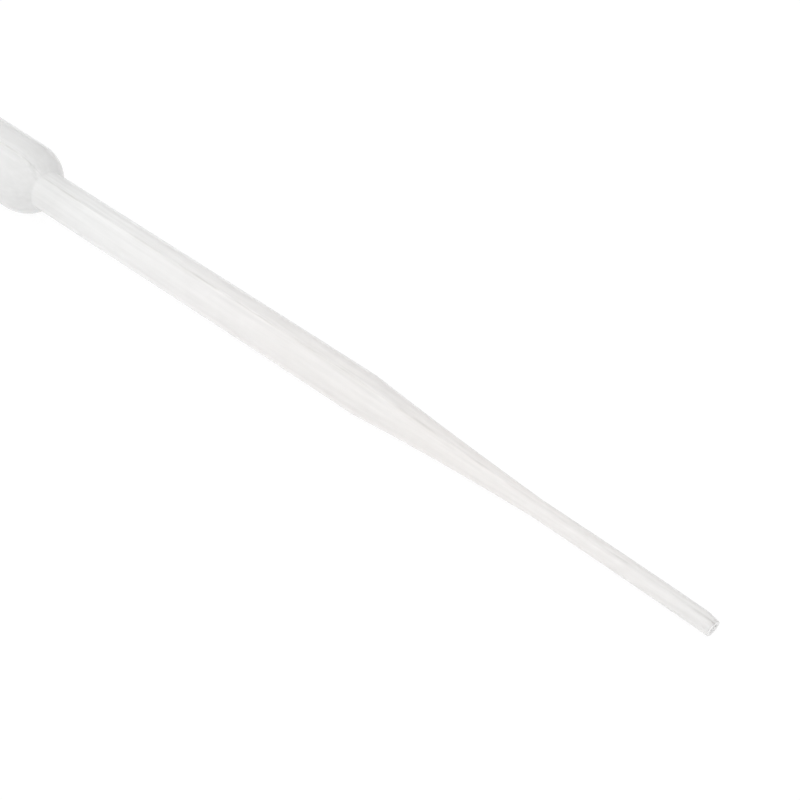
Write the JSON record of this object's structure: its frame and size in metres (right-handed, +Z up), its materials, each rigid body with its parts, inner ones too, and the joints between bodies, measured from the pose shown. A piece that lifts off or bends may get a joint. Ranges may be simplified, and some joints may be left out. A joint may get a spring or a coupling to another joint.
{
  "type": "plastic dropper pipette",
  "caption": "Translucent one-piece plastic dropper pipette with a fine open tip, a long taper, a straight stem and a squeeze bulb, lying on its side.",
  "frame": {"origin": "on the resting surface, under the middle of the pipette's length", "axes": "+X towards the open tip, along the pipette's length; +Y across it; +Z up from the resting surface"},
  "size_m": [0.1624, 0.0112, 0.0122],
  "materials": {
    "natural_polyethylene": "translucent, soft satin, natural low-density polyethylene"
  },
  "bodies": {
    "root": {"pipette": "natural_polyethylene"}
  },
  "joints": []
}
